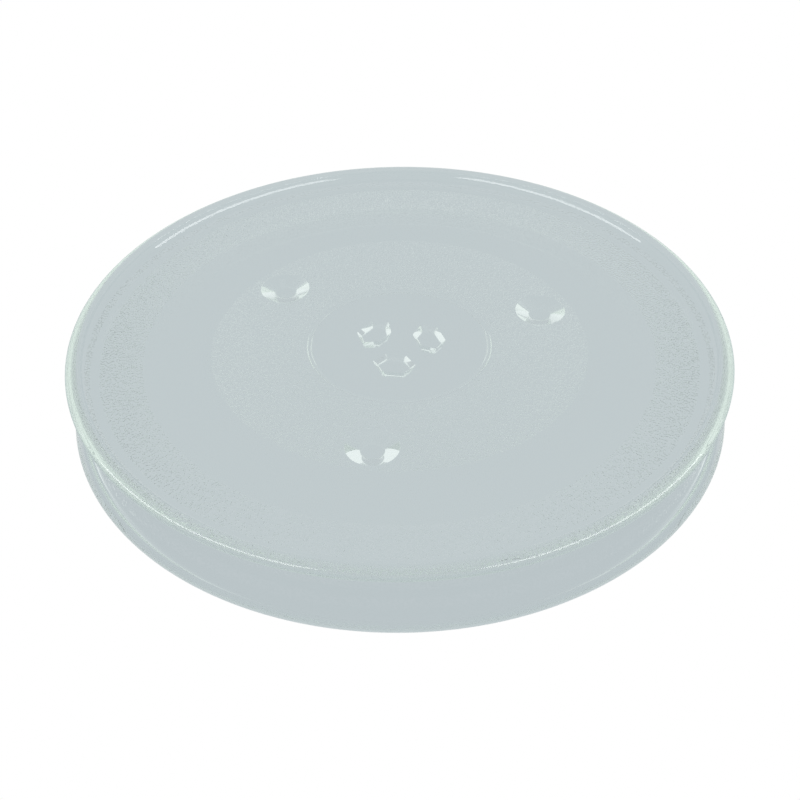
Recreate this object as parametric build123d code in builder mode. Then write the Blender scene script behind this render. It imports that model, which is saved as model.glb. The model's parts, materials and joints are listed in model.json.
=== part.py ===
"""Turntable plate for a microwave oven, pressed from clear glass in one piece.

Millimetres, +Z up. The origin is on the plate's axis, on the surface that its three feet
stand on. One drive lug and one foot lie on the -Y side of the axis.
"""

import math
import os

from build123d import *

# Plate as a whole
PLATE_DIAMETER = 245.0
FLOOR_THICKNESS = 5.0
DISH_DEPTH = 3.6

# Rim: a lip rounded outside and bevelled inside, a hollow cove down to the floor and a curved heel
LIP_WIDTH = 5.1
LIP_OUTER_ROUNDING = 2.0
LIP_INNER_BEVEL = 0.5
COVE_RUN = 3.1
COVE_RADIUS = 4.8
HEEL_RUN = 10.0

# Ring rib round the hub, on the underside
HUB_RING_RADIUS = 33.8
HUB_RING_WIDTH = 1.8
HUB_RING_CREST = 0.6
HUB_RING_HEIGHT = 0.5

# Smooth track that the roller ring's wheels run on, sunk into the underside
TRACK_INNER_RADIUS = 71.0
TRACK_WIDTH = 24.0
TRACK_DEPTH = 0.3
TRACK_SLOPE = 1.0

# Three of each feature, evenly spaced, the first on the -Y side
FEATURE_COUNT = 3
FIRST_ANGLE = -90.0

# Feet: blunt cones that hold the plate off the table
FOOT_HEIGHT = 5.0
FOOT_CIRCLE_RADIUS = 58.5
FOOT_ROOT_DIAMETER = 19.3
FOOT_END_DIAMETER = 8.0
FOOT_END_BEVEL = 0.6

# Drive lugs: drafted six-sided blocks with a point at each side, which the coupler's arms push
LUG_CIRCLE_RADIUS = 11.9
LUG_LENGTH = 16.2
LUG_WIDTH = 10.4
LUG_INNER_FLAT = 7.0
LUG_OUTER_FLAT = 9.0
LUG_CORNER_RADIUS = 1.2
LUG_DRAFT = 20.0
LUG_END_BEVEL = 0.6
LUG_TABLE_GAP = 0.8

# How close to a level an edge must lie to be picked there
LEVEL_TOLERANCE = 0.001

# Derived levels
underside = FOOT_HEIGHT
crest_level = underside - HUB_RING_HEIGHT
track_level = underside + TRACK_DEPTH
floor_top = underside + FLOOR_THICKNESS
rim_top = floor_top + DISH_DEPTH
lug_height = FOOT_HEIGHT - LUG_TABLE_GAP

# Derived radii
rim_radius = PLATE_DIAMETER / 2
lip_inner_radius = rim_radius - LIP_WIDTH
base_radius = rim_radius - HEEL_RUN
floor_radius = lip_inner_radius - COVE_RUN
ring_inner_radius = HUB_RING_RADIUS - HUB_RING_WIDTH / 2
ring_outer_radius = HUB_RING_RADIUS + HUB_RING_WIDTH / 2
crest_inner_radius = HUB_RING_RADIUS - HUB_RING_CREST / 2
crest_outer_radius = HUB_RING_RADIUS + HUB_RING_CREST / 2
track_outer_radius = TRACK_INNER_RADIUS + TRACK_WIDTH

# Derived heel: the arc that leaves the underside level and runs smoothly into the lip's outside
heel_run = HEEL_RUN - LIP_OUTER_ROUNDING
heel_rise = rim_top - LIP_OUTER_ROUNDING - underside
heel_radius = (heel_run**2 + heel_rise**2 - LIP_OUTER_ROUNDING**2) / (
    2 * (heel_rise - LIP_OUTER_ROUNDING)
)
heel_turn = math.degrees(math.atan2(heel_run, heel_radius - heel_rise))


def edges_at_level(builder, level):
    """Edges whose middle lies at one height."""
    return builder.edges().filter_by_position(
        Axis.Z, level - LEVEL_TOLERANCE, level + LEVEL_TOLERANCE
    )


with BuildPart() as turntable_plate:
    # Half section of the plate, turned about its axis
    with BuildSketch(Plane.XZ):
        with BuildLine():
            base_line = Polyline(
                (0, underside),
                (ring_inner_radius, underside),
                (crest_inner_radius, crest_level),
                (crest_outer_radius, crest_level),
                (ring_outer_radius, underside),
                (TRACK_INNER_RADIUS, underside),
                (TRACK_INNER_RADIUS + TRACK_SLOPE, track_level),
                (track_outer_radius - TRACK_SLOPE, track_level),
                (track_outer_radius, underside),
                (base_radius, underside),
            )
            heel = JernArc(base_line @ 1, (1, 0), heel_radius, heel_turn)
            lip_outside = JernArc(heel @ 1, heel % 1, LIP_OUTER_ROUNDING, 180 - heel_turn)
            lip_top = Polyline(
                lip_outside @ 1,
                (lip_inner_radius + LIP_INNER_BEVEL, rim_top),
                (lip_inner_radius, rim_top - LIP_INNER_BEVEL),
            )
            cove = RadiusArc(lip_top @ 1, (floor_radius, floor_top), COVE_RADIUS)
            dish_floor = Polyline(cove @ 1, (0, floor_top), (0, underside))
        make_face()
    revolve(axis=Axis.Z)

    # Feet, with bevelled ends
    with PolarLocations(FOOT_CIRCLE_RADIUS, FEATURE_COUNT, start_angle=FIRST_ANGLE):
        Cone(
            FOOT_END_DIAMETER / 2,
            FOOT_ROOT_DIAMETER / 2,
            FOOT_HEIGHT,
            align=(Align.CENTER, Align.CENTER, Align.MIN),
        )
    foot_ends = edges_at_level(turntable_plate, 0)
    chamfer(foot_ends, FOOT_END_BEVEL)

    # Drive lugs, drawn on the underside as seen from below
    with BuildSketch(Plane((0, 0, underside), x_dir=(1, 0, 0), z_dir=(0, 0, -1))):
        with PolarLocations(LUG_CIRCLE_RADIUS, FEATURE_COUNT, start_angle=-FIRST_ANGLE):
            Polygon(
                (-LUG_WIDTH / 2, -LUG_INNER_FLAT / 2),
                (0, -LUG_LENGTH / 2),
                (LUG_WIDTH / 2, -LUG_OUTER_FLAT / 2),
                (LUG_WIDTH / 2, LUG_OUTER_FLAT / 2),
                (0, LUG_LENGTH / 2),
                (-LUG_WIDTH / 2, LUG_INNER_FLAT / 2),
                align=None,
            )
    extrude(amount=lug_height, taper=LUG_DRAFT)
    lug_corners = edges_at_level(turntable_plate, underside - lug_height / 2)
    fillet(lug_corners, LUG_CORNER_RADIUS)
    lug_ends = edges_at_level(turntable_plate, LUG_TABLE_GAP)
    chamfer(lug_ends, LUG_END_BEVEL)

turntable_plate.part.label = "turntable_plate"

os.makedirs("parts", exist_ok=True)
export_step(turntable_plate.part, "parts/turntable_plate.step")
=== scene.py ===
"""Glass turntable plate: its looks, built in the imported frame, with a plain stage and a camera."""

import json
import math

import bmesh
import bpy
from mathutils import Matrix, Vector


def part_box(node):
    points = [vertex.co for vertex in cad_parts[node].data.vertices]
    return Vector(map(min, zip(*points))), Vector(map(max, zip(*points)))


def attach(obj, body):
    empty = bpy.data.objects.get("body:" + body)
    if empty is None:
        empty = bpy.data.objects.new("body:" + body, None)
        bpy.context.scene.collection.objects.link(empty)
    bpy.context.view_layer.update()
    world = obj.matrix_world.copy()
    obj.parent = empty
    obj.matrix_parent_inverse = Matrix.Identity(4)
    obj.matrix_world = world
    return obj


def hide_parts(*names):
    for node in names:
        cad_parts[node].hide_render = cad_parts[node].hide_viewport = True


bl_info = {
    "name": "Glass Turntable Plate",
    "version": (1, 0, 0),
    "blender": (4, 5, 0),
    "location": "3D View > Sidebar > Plate",
    "description": "Presses a glass turntable plate inside its frame and sets it on a plain stage",
    "category": "Object",
}

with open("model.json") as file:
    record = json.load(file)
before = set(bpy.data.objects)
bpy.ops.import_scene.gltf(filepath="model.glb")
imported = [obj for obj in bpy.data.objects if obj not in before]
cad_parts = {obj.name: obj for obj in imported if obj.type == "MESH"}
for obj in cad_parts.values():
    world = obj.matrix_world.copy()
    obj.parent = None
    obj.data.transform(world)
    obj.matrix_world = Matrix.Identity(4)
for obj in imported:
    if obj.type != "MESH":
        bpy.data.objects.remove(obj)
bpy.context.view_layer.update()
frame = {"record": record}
NODE = "turntable_plate"
MOUNTS = {mount["name"]: Vector(mount["pos_m"]) for mount in frame["record"]["mounts"]}
LOW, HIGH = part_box(NODE)
MM = 0.001

# How near two points lie to be merged, and how near a level an edge lies to be picked there
MERGE = 0.001 * MM
LEVEL_TOLERANCE = 0.01 * MM

# Turn of the first foot and lug, and the angle between faces above which an edge shows
FIRST_TURN = math.radians(-90.0)
SHARP_ANGLE = math.radians(32.0)

# Places of the colours in a Mix node's lists of sockets
MIX_A, MIX_B, MIX_RESULT = 6, 7, 2

WHITE = (1.0, 1.0, 1.0, 1.0)
NOISE_MIDDLE = 0.5


def length(name, description, default):
    """A size in metres that the panel shows as a length."""
    return bpy.props.FloatProperty(
        name=name, description=description, default=default, precision=5, unit="LENGTH", subtype="DISTANCE"
    )


def angle(name, description, degrees):
    """An angle, written in degrees."""
    return bpy.props.FloatProperty(
        name=name, description=description, default=math.radians(degrees), unit="ROTATION", subtype="ANGLE"
    )


def amount(name, description, default):
    """A plain number."""
    return bpy.props.FloatProperty(name=name, description=description, default=default, precision=4)


def count(name, description, default):
    """A whole number."""
    return bpy.props.IntProperty(name=name, description=description, default=default, min=1)


def colour(name, description, default):
    """A linear colour."""
    return bpy.props.FloatVectorProperty(
        name=name, description=description, default=default, size=3, subtype="COLOR", min=0.0, max=1.0
    )


class PlateSizes(bpy.types.PropertyGroup):
    """Sizes of the pressed glass"""

    rim_radius: length("Rim radius", "Axis to the outside of the lip", (HIGH.x - LOW.x) / 2)
    rim_top: length("Rim top", "Table to the top of the lip", HIGH.z)
    underside: length("Underside", "Table to the underside of the floor", MOUNTS["coupler_drive"].z)
    track_level: length("Track level", "Table to the roller track", MOUNTS["roller_track"].z)
    floor_top: length("Floor top", "Table to the dish floor", MOUNTS["dish_floor"].z)
    lip_width: length("Lip width", "Thickness of the lip", 5.1 * MM)
    lip_outer_rounding: length("Lip outer rounding", "Rounding of the lip's outside", 2.0 * MM)
    lip_inner_rounding: length("Lip inner rounding", "Rounding of the lip's inside", 0.5 * MM)
    cove_run: length("Cove run", "Inside of the lip to the edge of the dish floor", 3.1 * MM)
    cove_radius: length("Cove radius", "Radius of the hollow wall inside the lip", 4.8 * MM)
    heel_run: length("Heel run", "Outside of the lip to the flat underside", 10.0 * MM)
    ring_radius: length("Ring radius", "Axis to the middle of the hub ring", 33.8 * MM)
    ring_width: length("Ring width", "Width of the hub ring", 1.8 * MM)
    ring_height: length("Ring height", "Height of the hub ring", 0.5 * MM)
    track_inner_radius: length("Track inner radius", "Axis to the roller track", 71.0 * MM)
    track_width: length("Track width", "Width of the roller track", 24.0 * MM)
    track_inner_slope: length("Track inner slope", "Run of the step inside the track", 1.0 * MM)
    track_outer_slope: length("Track outer slope", "Run of the slope outside the track", 4.0 * MM)
    turn_steps: count("Turn steps", "Facets round the plate", 720)
    heel_steps: count("Heel steps", "Facets up the heel", 16)
    lip_steps: count("Lip steps", "Facets round the lip's outside", 14)
    edge_steps: count("Edge steps", "Facets round the lip's inner edge", 6)
    cove_steps: count("Cove steps", "Facets down the cove", 16)
    rib_steps: count("Rib steps", "Facets across the hub ring", 6)


class FeatureSizes(bpy.types.PropertyGroup):
    """Sizes of the feet and the drive lugs"""

    feature_count: count("Features", "Feet, and lugs, round the axis", 3)
    foot_circle: length("Foot circle", "Axis to the middle of a foot", MOUNTS["foot_rest"].xy.length)
    foot_root: length("Foot root", "Radius of a foot at the underside", 9.65 * MM)
    foot_end: length("Foot end", "Radius of a foot at the table", 4.0 * MM)
    foot_rounding: length("Foot rounding", "Rounding of a foot's end", 0.6 * MM)
    foot_steps: count("Foot steps", "Facets round a foot", 96)
    lug_circle: length("Lug circle", "Axis to the middle of a lug", 11.9 * MM)
    lug_length: length("Lug length", "Point to point, across the radius", 16.2 * MM)
    lug_width: length("Lug width", "Flat to flat, along the radius", 10.4 * MM)
    lug_inner_flat: length("Lug inner flat", "Length of the flat next to the axis", 7.0 * MM)
    lug_outer_flat: length("Lug outer flat", "Length of the flat away from the axis", 9.0 * MM)
    lug_draft: angle("Lug draft", "Slope of a lug's sides", 20.0)
    lug_gap: length("Lug gap", "Table to the end of a lug", 0.8 * MM)
    lug_corner: length("Lug corner", "Width that the rounding of a lug's corners takes", 1.2 * MM)
    lug_rounding: length("Lug rounding", "Width that the rounding of a lug's end takes", 0.8 * MM)
    rounding_steps: count("Rounding steps", "Facets across a rounding", 4)


class StippleSizes(bpy.types.PropertyGroup):
    """Sizes of the stippled finish under the floor"""

    grain: length("Grain", "Distance between the grains", 1.7 * MM)
    depth: length("Depth", "Height of the grains", 0.07 * MM)
    ridge: amount("Ridge", "Half width of a grain's ridge, as a share of the noise's range", 0.1)
    margin: length("Margin", "Width over which the stipple fades out", 0.8 * MM)
    flat_depth: length("Flat depth", "Reach of the flat stipple above and below the underside", 0.1 * MM)
    heel_start: length("Heel start", "Edge of the flat underside to the heel's strip of stipple", 2.5 * MM)
    heel_end: length("Heel end", "Edge of the flat underside to the far edge of that strip", 5.0 * MM)
    heel_height: length("Heel height", "Underside to the top of that strip", 3.5 * MM)
    heel_fade: length("Heel fade", "Height over which that strip fades out", 0.2 * MM)


class GlassFinish(bpy.types.PropertyGroup):
    """Finish of the glass"""

    tint: colour("Tint", "Colour that the surfaces give to light passing through", (0.95, 0.965, 0.96))
    depth_tint: colour("Depth tint", "Colour that thick glass turns towards", (0.49, 0.71, 0.45))
    depth_density: amount("Depth density", "Strength of the depth tint, per metre", 1.2)
    ior: amount("Refraction", "Index of refraction", 1.5)


class StageLook(bpy.types.PropertyGroup):
    """Floor, light and camera"""

    floor_colour: colour("Floor colour", "Colour of the floor", (0.525, 0.588, 0.610))
    floor_half: length("Floor half size", "Middle of the floor to its edge", 3.0)
    floor_gap: length("Floor gap", "Room between the feet and the floor", 0.2 * MM)
    soft_light: colour("Soft light", "Light from the far side", (0.52, 0.575, 0.60))
    bright_light: colour("Bright light", "Light from the sides and the camera's side", (0.86, 0.93, 0.93))
    soft_edge: amount("Soft edge", "Share of aim at the camera's side where the light turns bright", -0.95)
    bright_edge: amount("Bright edge", "Share of aim at the camera's side where it is fully bright", -0.2)
    key_left: angle("Left key", "Turn of the left soft box about the axis", 212.5)
    key_right: angle("Right key", "Turn of the right soft box about the axis", 346.5)
    key_rise: angle("Key rise", "Angle from the table up to a soft box", 40.0)
    key_distance: length("Key distance", "Origin to a soft box", 1.0)
    key_width: length("Key width", "Width of a soft box", 1.3)
    key_height: length("Key height", "Height of a soft box", 0.34)
    key_level: amount("Key level", "Brightness of a soft box's face", 4.5)
    key_reach: amount("Key reach", "Ray depth from which a soft box is dark", 2.5)
    max_bounces: count("Bounces", "Most bounces of a ray", 96)
    clear_bounces: count("Clear bounces", "Most bounces of a ray in and off the glass", 64)
    lens: amount("Lens", "Focal length in millimetres", 59.54)
    sensor: amount("Sensor", "Width of the camera's sensor in millimetres", 36.0)
    clip_start: length("Clip start", "Nearest distance that the camera shows", 10.0 * MM)
    turn: angle("Turn", "The camera's turn about the plate's axis", 9.5)
    tilt: angle("Tilt", "The camera's tilt up from straight down", 50.23)
    roll: angle("Roll", "The camera's turn about its own line of sight", -0.67)
    away: length("Away", "Axis to the camera, along the table", 394.4 * MM)
    above: length("Above", "Table to the camera", 308.5 * MM)


def link(data, name):
    """Put a mesh, a lamp or a camera in the scene as an object at the origin."""
    thing = bpy.data.objects.new(name, data)
    bpy.context.scene.collection.objects.link(thing)
    return thing


def mesh_of(bm, name):
    """Close a bmesh's seams, turn its faces outwards and make it a mesh."""
    bmesh.ops.remove_doubles(bm, verts=bm.verts, dist=MERGE)
    bmesh.ops.recalc_face_normals(bm, faces=bm.faces)
    mesh = bpy.data.meshes.new(name)
    bm.to_mesh(mesh)
    bm.free()
    return mesh


def run_to(bm, start, radius, level):
    """Draw one straight run of the section and return its end."""
    end = bmesh.ops.extrude_vert_indiv(bm, verts=[start])["verts"][0]
    end.co = (radius, 0.0, level)
    return end


def arc_to(bm, start, centre, turn, steps):
    """Draw one arc of the section round a centre and return its end."""
    made = bmesh.ops.spin(
        bm, geom=[start], cent=(centre[0], 0.0, centre[1]), axis=(0.0, 1.0, 0.0), dvec=(0.0, 0.0, 0.0),
        angle=turn, steps=steps, use_merge=False, use_normal_flip=False, use_duplicate=False,
    )
    return next(item for item in made["geom_last"] if isinstance(item, bmesh.types.BMVert))


def rounded(bm, edges, width, steps):
    """Round some edges off."""
    return bmesh.ops.bevel(
        bm, geom=list(edges), offset=width, offset_type="OFFSET",
        affect="EDGES", segments=steps, profile=0.5, material=-1,
    )


def rim_section(bm, end, sizes):
    """Heel, lip and cove, from the edge of the underside to the edge of the dish floor."""
    outer = sizes.lip_outer_rounding
    inner = sizes.lip_inner_rounding
    base = end.co.x
    lip_level = sizes.rim_top - outer

    # The heel's arc leaves the underside level and runs smoothly into the lip's outside
    run = sizes.rim_radius - outer - base
    rise = lip_level - sizes.underside
    heel = (run * run + rise * rise - outer * outer) / (2 * (rise - outer))
    heel_turn = math.atan2(run, heel - rise)
    end = arc_to(bm, end, (base, sizes.underside + heel), -heel_turn, sizes.heel_steps)
    lip_centre = (sizes.rim_radius - outer, lip_level)
    end = arc_to(bm, end, lip_centre, heel_turn - math.pi, sizes.lip_steps)

    inside = sizes.rim_radius - sizes.lip_width
    end = run_to(bm, end, inside + inner, sizes.rim_top)
    edge_centre = (inside + inner, sizes.rim_top - inner)
    end = arc_to(bm, end, edge_centre, -math.pi / 2, sizes.edge_steps)

    # The cove is a hollow arc over its chord
    chord = Vector((-sizes.cove_run, sizes.floor_top - end.co.z))
    sag = math.sqrt(sizes.cove_radius**2 - chord.length_squared / 4)
    centre = Vector((end.co.x, end.co.z)) + chord / 2 - chord.orthogonal().normalized() * sag
    cove_turn = 2 * math.asin(chord.length / 2 / sizes.cove_radius)
    return arc_to(bm, end, centre, cove_turn, sizes.cove_steps)


def plate_body(sizes):
    """The plate without its feet and lugs: a half section turned about the axis."""
    ring_inner = sizes.ring_radius - sizes.ring_width / 2
    track_outer = sizes.track_inner_radius + sizes.track_width
    base = sizes.rim_radius - sizes.heel_run
    bm = bmesh.new()
    end = bm.verts.new((ring_inner, 0.0, sizes.underside))
    for step in range(1, sizes.rib_steps + 1):
        share = step / sizes.rib_steps
        drop = sizes.ring_height * math.sin(math.pi * share)
        end = run_to(bm, end, ring_inner + sizes.ring_width * share, sizes.underside - drop)
    end = run_to(bm, end, sizes.track_inner_radius, sizes.underside)
    end = run_to(bm, end, sizes.track_inner_radius + sizes.track_inner_slope, sizes.track_level)
    end = run_to(bm, end, track_outer - sizes.track_outer_slope, sizes.track_level)
    end = run_to(bm, end, track_outer, sizes.underside)
    end = run_to(bm, end, base, sizes.underside)
    rim_section(bm, end, sizes)

    bmesh.ops.spin(
        bm, geom=bm.verts[:] + bm.edges[:], cent=(0.0, 0.0, 0.0), axis=(0.0, 0.0, 1.0),
        dvec=(0.0, 0.0, 0.0), angle=math.tau, steps=sizes.turn_steps,
        use_merge=True, use_normal_flip=False, use_duplicate=False,
    )
    open_edges = [edge for edge in bm.edges if edge.is_boundary]
    bmesh.ops.holes_fill(bm, edges=open_edges, sides=0)
    return mesh_of(bm, "plate_body")


def foot(bm, sizes, features, turn):
    """One blunt conical foot, let into the floor."""
    depth = sizes.underside
    bury = (sizes.floor_top - sizes.underside) / 2
    grow = (features.foot_root - features.foot_end) / depth * bury
    made = bmesh.ops.create_cone(
        bm, cap_ends=True, cap_tris=False, segments=features.foot_steps,
        radius1=features.foot_end, radius2=features.foot_root + grow, depth=depth + bury,
    )
    bmesh.ops.translate(bm, verts=made["verts"], vec=(features.foot_circle, 0.0, (depth + bury) / 2))
    end_edges = {
        edge for vert in made["verts"] for edge in vert.link_edges
        if all(point.co.z < LEVEL_TOLERANCE for point in edge.verts)
    }
    ends = rounded(bm, end_edges, features.foot_rounding, features.rounding_steps)
    whole = {vert for vert in made["verts"] if vert.is_valid} | set(ends["verts"])
    bmesh.ops.rotate(bm, verts=list(whole), cent=(0, 0, 0), matrix=Matrix.Rotation(turn, 3, "Z"))


def drive_lug(bm, sizes, features, turn):
    """One drafted six-sided drive lug, let into the floor."""
    bury = (sizes.floor_top - sizes.underside) / 2
    height = sizes.underside - features.lug_gap
    half = features.lug_width / 2
    point = features.lug_length / 2
    inner = features.lug_inner_flat / 2
    outer = features.lug_outer_flat / 2
    outline = ((-half, -inner), (0.0, -point), (half, -outer), (half, outer), (0.0, point), (-half, inner))
    before = set(bm.verts)
    root = bm.faces.new([bm.verts.new((x, y, sizes.underside)) for x, y in reversed(outline)])
    root.normal_update()
    sides = bmesh.ops.inset_region(
        bm, faces=[root], thickness=math.tan(features.lug_draft) * height, depth=height,
        use_boundary=True, use_even_offset=True, use_interpolate=False, use_relative_offset=False,
        use_edge_rail=False, use_outset=False,
    )

    # The root goes up into the floor and is closed there
    rim = [edge for edge in bm.edges if edge.is_boundary and edge.verts[0] not in before]
    buried = bmesh.ops.extrude_edge_only(bm, edges=rim)
    top = [item for item in buried["geom"] if isinstance(item, bmesh.types.BMVert)]
    bmesh.ops.translate(bm, verts=top, vec=(0.0, 0.0, bury))
    open_edges = [edge for edge in bm.edges if edge.is_boundary and edge.verts[0] not in before]
    bmesh.ops.holes_fill(bm, edges=open_edges, sides=0)

    # Corners first, then the end
    slanted = [
        edge for face in sides["faces"] for edge in face.edges
        if abs(edge.verts[0].co.z - edge.verts[1].co.z) > height / 2
    ]
    rounded(bm, set(slanted), features.lug_corner / 2, features.rounding_steps)
    end_edges = [
        edge for edge in bm.edges if edge.verts[0] not in before
        and all(abs(vert.co.z - features.lug_gap) < LEVEL_TOLERANCE for vert in edge.verts)
    ]
    rounded(bm, end_edges, features.lug_rounding / 2, features.rounding_steps)
    whole = [vert for vert in bm.verts if vert not in before]
    bmesh.ops.translate(bm, verts=whole, vec=(features.lug_circle, 0.0, 0.0))
    bmesh.ops.rotate(bm, verts=whole, cent=(0, 0, 0), matrix=Matrix.Rotation(turn, 3, "Z"))


def feet_and_lugs(sizes, features):
    """All feet and lugs as closed bodies that reach into the floor."""
    bm = bmesh.new()
    for index in range(features.feature_count):
        turn = FIRST_TURN + math.tau * index / features.feature_count
        foot(bm, sizes, features, turn)
        drive_lug(bm, sizes, features, turn)
    return mesh_of(bm, "feet_and_lugs")


def joined(body, additions):
    """The body with the additions pressed into one closed shell."""
    whole = link(body, "whole")
    extra = link(additions, "extra")
    press = whole.modifiers.new("press", "BOOLEAN")
    press.operation = "UNION"
    press.solver = "EXACT"
    press.object = extra
    view = bpy.context.evaluated_depsgraph_get()
    mesh = bpy.data.meshes.new_from_object(whole.evaluated_get(view))
    bpy.data.objects.remove(whole)
    bpy.data.objects.remove(extra)
    if not mesh.polygons:
        raise RuntimeError("pressing the feet and lugs into the plate left no glass")
    return mesh


def add_node(tree, kind, values=None, **settings):
    """Put a node in a tree, with settings by attribute and inputs by name or by place in their list."""
    node = tree.nodes.new(kind)
    for name, value in settings.items():
        setattr(node, name, value)
    for place, value in (values or {}).items():
        if isinstance(value, bpy.types.NodeSocket):
            tree.links.new(value, node.inputs[place])
        else:
            node.inputs[place].default_value = value
    return node


def maths(tree, operation, *values):
    """The result of one sum on sockets or numbers."""
    return add_node(tree, "ShaderNodeMath", dict(enumerate(values)), operation=operation).outputs[0]


def vector_node(tree, operation, values):
    """A node for one sum on vectors."""
    return add_node(tree, "ShaderNodeVectorMath", dict(enumerate(values)), operation=operation)


def vector_maths(tree, operation, *values):
    """The vector that one sum on vectors gives."""
    return vector_node(tree, operation, values).outputs["Vector"]


def vector_measure(tree, operation, *values):
    """The number that one sum on vectors gives."""
    return vector_node(tree, operation, values).outputs["Value"]


def flattened(tree, place):
    """A place or an aim without its height."""
    return vector_maths(tree, "MULTIPLY", place, (1.0, 1.0, 0.0))


def smooth_step(tree, value, start, end):
    """A smooth rise from 0 where a value is at its start to 1 where it is at its end."""
    step = add_node(tree, "ShaderNodeMapRange", {0: value, 1: start, 2: end}, interpolation_type="SMOOTHSTEP")
    return step.outputs[0]


def span_mask(tree, value, low, high, fade):
    """A mask that is 1 where a value lies between two limits and fades to 0 outside them."""
    rise = smooth_step(tree, value, low - fade, low)
    fall = smooth_step(tree, value, high + fade, high)
    return maths(tree, "MULTIPLY", rise, fall)


def opaque(shade):
    """A colour as a socket takes it."""
    return (*shade, 1.0)


def mixed_colour(tree, share, first, second):
    """A colour between two, by a share from 0 to 1."""
    mix = add_node(tree, "ShaderNodeMix", {0: share, MIX_A: first, MIX_B: second}, data_type="RGBA")
    return mix.outputs[MIX_RESULT]


def stipple_mask(tree, place, sizes, stipple):
    """Where the underside is stippled: outside the hub ring, off the track, and on a strip of the heel."""
    level = add_node(tree, "ShaderNodeSeparateXYZ", {0: place}).outputs["Z"]
    radius = vector_measure(tree, "LENGTH", flattened(tree, place))
    low = sizes.underside
    fade = stipple.margin
    ring_outer = sizes.ring_radius + sizes.ring_width / 2
    track_outer = sizes.track_inner_radius + sizes.track_width
    base = sizes.rim_radius - sizes.heel_run
    inner = span_mask(tree, radius, ring_outer + fade, sizes.track_inner_radius - fade, fade)
    outer = span_mask(tree, radius, track_outer + fade, base - 2 * fade, fade)
    below = span_mask(tree, level, low, low, stipple.flat_depth)
    heel = span_mask(tree, radius, base + stipple.heel_start, base + stipple.heel_end, fade)
    curved = span_mask(tree, level, low, low + stipple.heel_height, stipple.heel_fade)
    flat_part = maths(tree, "MULTIPLY", maths(tree, "ADD", inner, outer), below)
    return maths(tree, "MULTIPLY_ADD", heel, curved, flat_part)


def grain_ridges(tree, place, stipple):
    """Fine winding ridges, where a flat noise crosses its middle."""
    look = {"Vector": place, "Scale": 1.0 / stipple.grain, "Detail": 1.0}
    noise = add_node(tree, "ShaderNodeTexNoise", look, noise_dimensions="2D").outputs[0]
    offset = maths(tree, "ABSOLUTE", maths(tree, "SUBTRACT", noise, NOISE_MIDDLE))
    return smooth_step(tree, offset, stipple.ridge, 0.0)


def glass_material(finish, sizes, stipple):
    """Pale pressed glass with a stippled underside, whose ridges are painted whiter as painted glints."""
    material = bpy.data.materials.new("clear_glass")
    material.use_nodes = True
    tree = material.node_tree
    shader = tree.nodes["Principled BSDF"]
    shader.inputs["Roughness"].default_value = 0.0
    shader.inputs["IOR"].default_value = finish.ior
    shader.inputs["Transmission Weight"].default_value = 1.0
    depth = {"Color": opaque(finish.depth_tint), "Density": finish.depth_density}
    thick = add_node(tree, "ShaderNodeVolumeAbsorption", depth)
    tree.links.new(thick.outputs["Volume"], tree.nodes["Material Output"].inputs["Volume"])

    place = add_node(tree, "ShaderNodeTexCoord").outputs["Object"]
    mask = stipple_mask(tree, place, sizes, stipple)
    ridges_and_painted_glints = maths(tree, "MULTIPLY", grain_ridges(tree, place, stipple), mask)
    # Painted glints: the glass's colour turns white along the stipple's ridges, standing in for bright
    # sparkle and caustic lines; the same ridges also drive the real bump below.
    tree.links.new(mixed_colour(tree, ridges_and_painted_glints, opaque(finish.tint), WHITE), shader.inputs["Base Color"])
    bump = add_node(tree, "ShaderNodeBump", {"Height": ridges_and_painted_glints, "Distance": stipple.depth})
    tree.links.new(bump.outputs["Normal"], shader.inputs["Normal"])
    return material


class PLATE_OT_press_glass(bpy.types.Operator):
    """Press the plate with its feet, lugs and stippled underside"""

    bl_idname = "plate.press_glass"
    bl_label = "Press Glass"

    def execute(self, context):
        scene = context.scene
        body = plate_body(scene.plate_sizes)
        mesh = joined(body, feet_and_lugs(scene.plate_sizes, scene.plate_features))
        mesh.shade_smooth()
        mesh.set_sharp_from_angle(angle=SHARP_ANGLE)
        mesh.materials.clear()
        mesh.materials.append(glass_material(scene.plate_finish, scene.plate_sizes, scene.plate_stipple))
        plate = link(mesh, "turntable_glass")
        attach(plate, "root")
        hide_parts(NODE)
        return {"FINISHED"}


def floor_material(look):
    """Pale floor with a high polish: white to the eye, with the plate mirrored in it."""
    material = bpy.data.materials.new("pale_floor")
    material.use_nodes = True
    tree = material.node_tree
    tree.nodes.clear()
    path = add_node(tree, "ShaderNodeLightPath").outputs
    pale = add_node(tree, "ShaderNodeBsdfDiffuse", {"Color": opaque(look.floor_colour)}).outputs[0]
    shown = add_node(tree, "ShaderNodeEmission", {"Color": opaque(look.floor_colour)}).outputs[0]
    polish = add_node(tree, "ShaderNodeBsdfGlossy", {"Color": WHITE, "Roughness": 0.0}).outputs[0]
    by_glass = maths(tree, "MAXIMUM", path["Is Glossy Ray"], path["Is Transmission Ray"])
    seen = add_node(tree, "ShaderNodeMixShader", {0: by_glass, 1: pale, 2: shown}).outputs[0]
    both = add_node(tree, "ShaderNodeMixShader", {0: path["Is Camera Ray"], 1: seen, 2: polish}).outputs[0]
    add_node(tree, "ShaderNodeOutputMaterial", {"Surface": both})
    return material


def stage_floor(look):
    """The floor, just below the feet."""
    bm = bmesh.new()
    bmesh.ops.create_grid(bm, x_segments=1, y_segments=1, size=look.floor_half)
    bmesh.ops.translate(bm, verts=bm.verts, vec=(0.0, 0.0, -look.floor_gap))
    floor = link(mesh_of(bm, "floor"), "floor")
    floor.data.materials.append(floor_material(look))
    return floor


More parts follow.
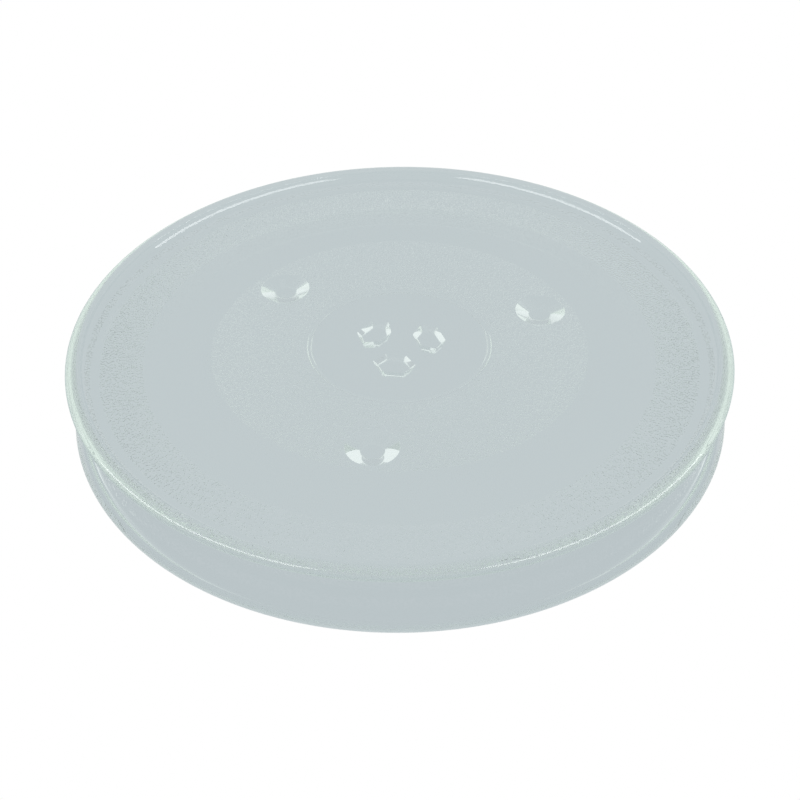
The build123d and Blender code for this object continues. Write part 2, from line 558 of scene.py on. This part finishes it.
def studio_world(look):
    """Soft light, brighter towards the camera's side, that is white to the camera and in reflections."""
    world = bpy.data.worlds.new("studio")
    world.use_nodes = True
    tree = world.node_tree
    path = add_node(tree, "ShaderNodeLightPath").outputs
    reflected = maths(tree, "SUBTRACT", path["Is Glossy Ray"], path["Is Transmission Ray"])
    white = maths(tree, "MAXIMUM", path["Is Camera Ray"], reflected)

    aim = add_node(tree, "ShaderNodeTexCoord").outputs["Object"]
    level_aim = vector_maths(tree, "NORMALIZE", flattened(tree, aim))
    camera_side = (math.sin(look.turn), -math.cos(look.turn), 0.0)
    toward = vector_measure(tree, "DOT_PRODUCT", level_aim, camera_side)
    bright = smooth_step(tree, toward, look.soft_edge, look.bright_edge)
    light = mixed_colour(tree, bright, opaque(look.soft_light), opaque(look.bright_light))
    tree.links.new(mixed_colour(tree, white, light, WHITE), tree.nodes["Background"].inputs["Color"])
    return world


def key_lamp(name, turn, look):
    """A soft box that faces the plate and shows only in the glass's first reflections."""
    data = bpy.data.lights.new(name, "AREA")
    data.shape = "RECTANGLE"
    data.size = look.key_width
    data.size_y = look.key_height
    data.energy = look.key_level * math.pi * look.key_width * look.key_height
    data.use_nodes = True
    tree = data.node_tree
    depth = add_node(tree, "ShaderNodeLightPath").outputs["Ray Depth"]
    first = maths(tree, "LESS_THAN", depth, look.key_reach)
    tree.links.new(first, tree.nodes["Emission"].inputs["Strength"])

    lamp = link(data, name)
    spot = Vector((math.cos(look.key_rise), 0.0, math.sin(look.key_rise))) * look.key_distance
    spot.rotate(Matrix.Rotation(turn, 3, "Z"))
    lamp.location = spot
    lamp.rotation_mode = "QUATERNION"
    lamp.rotation_quaternion = (-spot).to_track_quat("-Z", "Y")
    lamp.visible_camera = False
    lamp.visible_transmission = False
    lamp.visible_diffuse = False


def stage_camera(look):
    """The camera, turned about the plate's axis and tilted down at it."""
    data = bpy.data.cameras.new("camera")
    data.lens = look.lens
    data.sensor_width = look.sensor
    data.clip_start = look.clip_start
    camera = link(data, "camera")
    spot = Vector((0.0, -look.away, look.above))
    spot.rotate(Matrix.Rotation(look.turn, 3, "Z"))
    aim = Matrix.Rotation(look.turn, 4, "Z") @ Matrix.Rotation(look.tilt, 4, "X")
    camera.matrix_world = Matrix.Translation(spot) @ aim @ Matrix.Rotation(look.roll, 4, "Z")
    return camera


class PLATE_OT_set_stage(bpy.types.Operator):
    """Set the plain floor, the soft light and the camera"""

    bl_idname = "plate.set_stage"
    bl_label = "Set Stage"

    def execute(self, context):
        scene = context.scene
        look = scene.plate_stage
        scene.view_settings.view_transform = "Standard"
        scene.cycles.max_bounces = look.max_bounces
        scene.cycles.glossy_bounces = look.clear_bounces
        scene.cycles.transmission_bounces = look.clear_bounces
        floor = stage_floor(look)
        scene.world = studio_world(look)
        key_lamp("left_key", look.key_left, look)
        key_lamp("right_key", look.key_right, look)
        scene.camera = stage_camera(look)
        return {"FINISHED"}


class PLATE_PT_sidebar(bpy.types.Panel):
    """Sizes and steps of the plate"""

    bl_idname = "PLATE_PT_sidebar"
    bl_label = "Turntable Plate"
    bl_space_type = "VIEW_3D"
    bl_region_type = "UI"
    bl_category = "Plate"

    def draw(self, context):
        for name in GROUPS:
            group = getattr(context.scene, name)
            box = self.layout.box()
            for prop in group.bl_rna.properties:
                if prop.identifier not in {"rna_type", "name"}:
                    box.prop(group, prop.identifier)
        self.layout.operator(PLATE_OT_press_glass.bl_idname)
        self.layout.operator(PLATE_OT_set_stage.bl_idname)


GROUPS = {
    "plate_sizes": PlateSizes,
    "plate_features": FeatureSizes,
    "plate_stipple": StippleSizes,
    "plate_finish": GlassFinish,
    "plate_stage": StageLook,
}
CLASSES = (*GROUPS.values(), PLATE_OT_press_glass, PLATE_OT_set_stage, PLATE_PT_sidebar)


def register():
    """Add the classes and the scene's groups of sizes."""
    for cls in CLASSES:
        bpy.utils.register_class(cls)
    for name, group in GROUPS.items():
        setattr(bpy.types.Scene, name, bpy.props.PointerProperty(type=group))


def unregister():
    """Take the classes and the groups away again."""
    for name in GROUPS:
        delattr(bpy.types.Scene, name)
    for cls in reversed(CLASSES):
        bpy.utils.unregister_class(cls)


def main():
    """Build the plate and its stage."""
    register()
    bpy.ops.plate.press_glass()
    bpy.ops.plate.set_stage()


if __name__ == "__main__":
    main()
